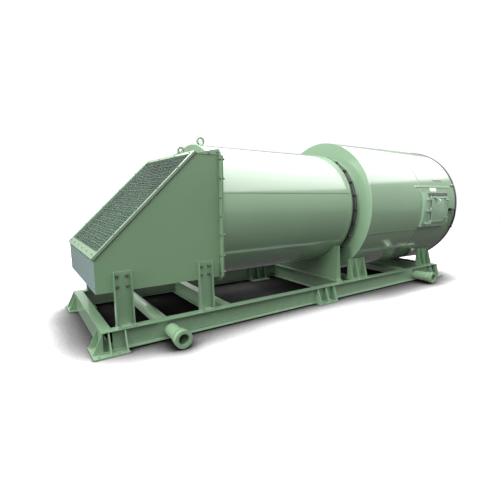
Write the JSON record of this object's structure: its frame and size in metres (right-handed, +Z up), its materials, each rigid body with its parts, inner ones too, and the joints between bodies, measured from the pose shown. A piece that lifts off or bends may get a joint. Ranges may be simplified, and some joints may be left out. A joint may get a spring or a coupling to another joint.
{
  "type": "skid mounted axial fan set",
  "caption": "Industrial axial ventilation fan set on a welded steel skid: box hood with sloping wire screen, round duct, larger fan drum with access door, lifting tubes.",
  "frame": {"origin": "on the ground under the middle of the whole set", "axes": "+X from the inlet hood to the outlet, +Z up, -Y the side with the access door"},
  "size_m": [5.962, 2.28, 2.234],
  "materials": {
    "frame_paint": "gloss sage green paint",
    "casing_paint": "gloss sage green paint",
    "panel_paint": "gloss sage green paint",
    "screen_wire": "painted welded wire mesh",
    "rubber": "dull black rubber",
    "cable_black": "black cable sheath",
    "inner_paint": "satin grey green primer",
    "motor_paint": "satin blue grey machine paint",
    "blade_metal": "cast aluminium",
    "shaft_steel": "turned steel"
  },
  "bodies": {
    "set_frame": {"long_beam_near": "frame_paint", "long_beam_far": "frame_paint", "end_beam_front": "frame_paint", "end_beam_rear": "frame_paint", "cross_beam_hood": "frame_paint", "cross_beam_saddle": "frame_paint", "cross_beam_drum_front": "frame_paint", "cross_beam_drum_rear": "frame_paint", "lifting_tube_front": "frame_paint", "lifting_tube_rear": "frame_paint", "foot_front_near": "frame_paint", "foot_front_far": "frame_paint", "foot_middle_near": "frame_paint", "foot_middle_far": "frame_paint", "foot_rear_near": "frame_paint", "foot_rear_far": "frame_paint", "hood_leg_front_near": "frame_paint", "hood_leg_front_far": "frame_paint", "hood_leg_rear_near": "frame_paint", "hood_leg_rear_far": "frame_paint", "hood_side_near": "casing_paint", "hood_side_far": "casing_paint", "hood_floor": "casing_paint", "hood_roof": "casing_paint", "hood_flange": "casing_paint", "duct_front_plate": "casing_paint", "screen_frame": "casing_paint", "lifting_lug_hood": "casing_paint", "lifting_eye_duct": "casing_paint", "duct_shell": "casing_paint", "duct_rear_plate": "casing_paint", "duct_saddle": "casing_paint", "inlet_collar": "casing_paint", "drum_front_plate": "casing_paint", "drum_front_shell": "casing_paint", "drum_rear_shell": "casing_paint", "drum_foot_front_near": "casing_paint", "drum_foot_front_far": "casing_paint", "drum_foot_rear_near": "casing_paint", "drum_foot_rear_far": "casing_paint", "door_frame": "casing_paint", "hood_front_panel": "panel_paint", "inlet_screen": "screen_wire", "flexible_connector": "rubber", "outlet_ring": "rubber", "supply_cable": "cable_black", "fan_casing": "inner_paint", "guide_vanes": "inner_paint", "casing_diaphragm": "inner_paint", "motor_pedestal": "inner_paint", "motor": "motor_paint", "door_hinge_pin": "shaft_steel"},
    "rotor": {"impeller": "blade_metal", "nose_cone": "blade_metal", "motor_shaft": "shaft_steel"},
    "door": {"door_leaf": "casing_paint"},
    "latch_upper": {"door_latch_upper": "casing_paint"},
    "latch_lower": {"door_latch_lower": "casing_paint"}
  },
  "joints": [
    {"name": "rotor_spin", "type": "hinge", "parent": "set_frame", "child": "rotor", "pos_m": [1.004, 0, 1.229], "axis": [1, 0, 0], "continuous": true},
    {"name": "door_swing", "type": "hinge", "parent": "set_frame", "child": "door", "pos_m": [2.043, -1.062, 1.2], "axis": [0, 0, -1], "range_deg": [0, 110]},
    {"name": "latch_upper_turn", "type": "hinge", "parent": "door", "child": "latch_upper", "pos_m": [2.557, -1.05, 1.352], "axis": [0, 1, 0], "range_deg": [0, 90]},
    {"name": "latch_lower_turn", "type": "hinge", "parent": "door", "child": "latch_lower", "pos_m": [2.557, -1.05, 1.066], "axis": [0, 1, 0], "range_deg": [0, 90]}
  ]
}
